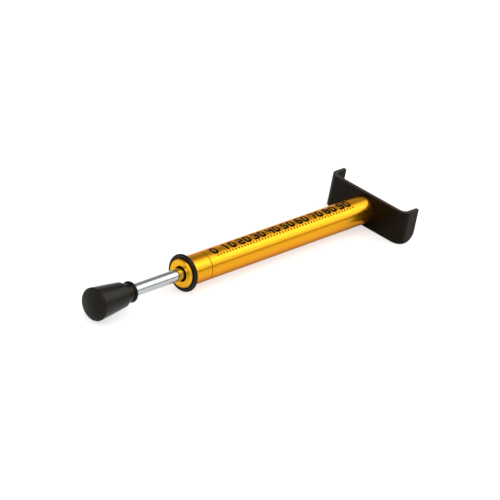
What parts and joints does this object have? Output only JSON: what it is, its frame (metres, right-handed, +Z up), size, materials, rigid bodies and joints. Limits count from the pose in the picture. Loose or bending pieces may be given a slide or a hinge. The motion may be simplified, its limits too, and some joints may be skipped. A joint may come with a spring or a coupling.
{
  "type": "belt tension gauge",
  "caption": "Belt tension gauge: a gold barrel with a sprung plunger and rubber knob at one end, a marker ring on the barrel, and a black U-shaped cradle that cups the belt at the other end.",
  "frame": {"origin": "below the middle of the bounding box, on the surface that the gauge lies on", "axes": "+X along the barrel from the knob to the cradle, +Y along the cradle, +Z up"},
  "size_m": [0.272, 0.0678, 0.0247],
  "materials": {
    "gold_anodised": "bright gold anodised, turned, with fine lengthwise lines",
    "bronze": "plain sintered bronze",
    "buffer_rubber": "matte",
    "spring_steel": "drawn spring wire, oiled",
    "plain_steel": "plain machined steel",
    "plain_aluminium": "turned",
    "black_steel": "black oxide",
    "zinc_plate": "bright zinc plate",
    "knob_rubber": "matte moulded rubber, warm black",
    "nylon": "natural moulded nylon",
    "ring_rubber": "smooth satin rubber",
    "black_coat": "satin black coat on bent steel strip"
  },
  "bodies": {
    "barrel": {"barrel_tube": "gold_anodised", "front_cap": "gold_anodised", "rod_bush": "bronze", "stop_buffer": "buffer_rubber", "compression_spring": "spring_steel", "preload_shim_1": "plain_steel", "preload_shim_2": "plain_steel", "rear_plug": "plain_aluminium", "plug_grub_screw": "black_steel", "cradle": "black_coat", "cradle_screw": "black_steel"},
    "plunger": {"plunger_rod": "zinc_plate", "knob": "knob_rubber", "knob_insert": "plain_steel", "guide_piston": "nylon", "spring_seat_washer": "zinc_plate", "piston_lock_washer": "zinc_plate", "piston_nut": "zinc_plate"},
    "marker_ring": {"marker_ring": "ring_rubber"}
  },
  "joints": [
    {"name": "plunger_slide", "type": "slide", "parent": "barrel", "child": "plunger", "axis": [1, 0, 0], "range_m": [0, 0.0435], "stiffness_N_per_m": 1100, "springref_m": -0.005, "deforming": ["compression_spring"]},
    {"name": "marker_slide", "type": "slide", "parent": "barrel", "child": "marker_ring", "axis": [1, 0, 0], "range_m": [-0.0008, 0.1742]}
  ]
}
